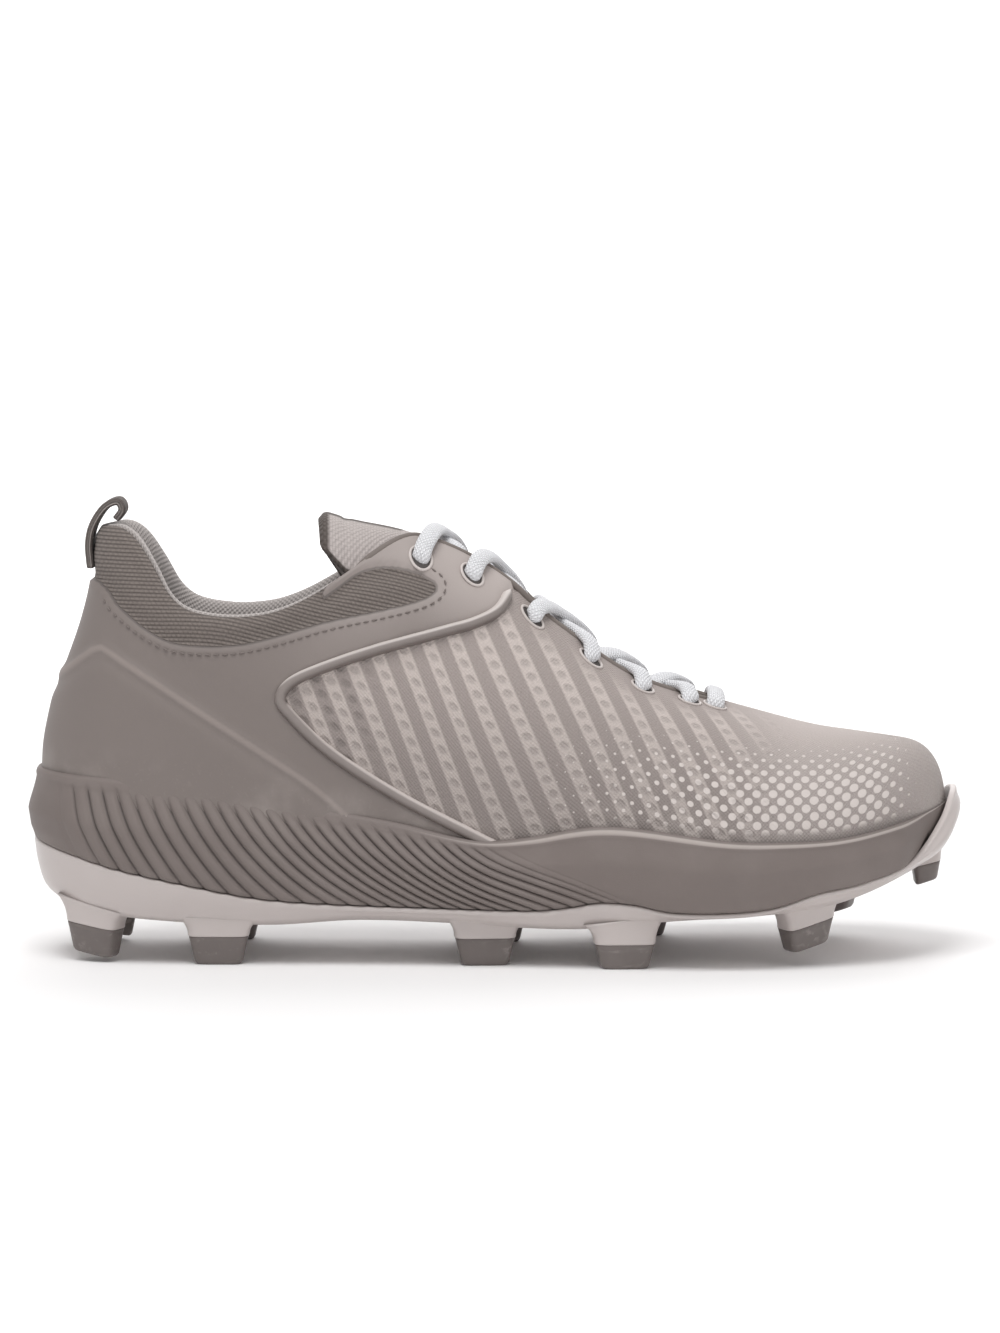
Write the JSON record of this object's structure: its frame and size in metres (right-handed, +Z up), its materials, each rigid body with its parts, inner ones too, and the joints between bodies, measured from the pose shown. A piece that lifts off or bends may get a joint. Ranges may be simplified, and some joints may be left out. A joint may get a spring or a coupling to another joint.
{
  "type": "baseball cleat",
  "caption": "Low baseball cleat for the right foot with moulded studs, ribbed midsole, mesh vamp, smooth saddle, knitted collar and white laces.",
  "frame": {"origin": "middle of the shoe's box, on the floor under the studs", "axes": "+X towards the toe, +Y towards the inner side of the foot, +Z up"},
  "size_m": [0.3, 0.1038, 0.1458],
  "materials": {
    "plate": "satin",
    "stud": "satin",
    "midsole": "matte",
    "insole": "matte",
    "mesh": "matte",
    "saddle": "satin",
    "tongue": "matte",
    "lace": "matte",
    "webbing": "matte"
  },
  "bodies": {
    "root": {"outsole_plate": "plate", "stud_heel_rear_lateral": "stud", "stud_heel_rear_medial": "stud", "stud_heel_front_lateral": "stud", "stud_heel_front_medial": "stud", "stud_waist_lateral": "stud", "stud_waist_medial": "stud", "stud_ball_lateral": "stud", "stud_ball_medial": "stud", "stud_front_lateral": "stud", "stud_front_medial": "stud", "stud_toe": "stud", "midsole": "midsole", "insole": "insole", "upper": "mesh", "saddle": "saddle", "heel_counter": "saddle", "saddle_rim_lateral": "saddle", "saddle_rim_medial": "saddle", "tongue": "tongue", "lace_crossing_1": "lace", "lace_crossing_2": "lace", "lace_crossing_3": "lace", "lace_crossing_4": "lace", "lace_crossing_5": "lace", "lace_front_bar": "lace", "pull_loop": "webbing"}
  },
  "joints": []
}
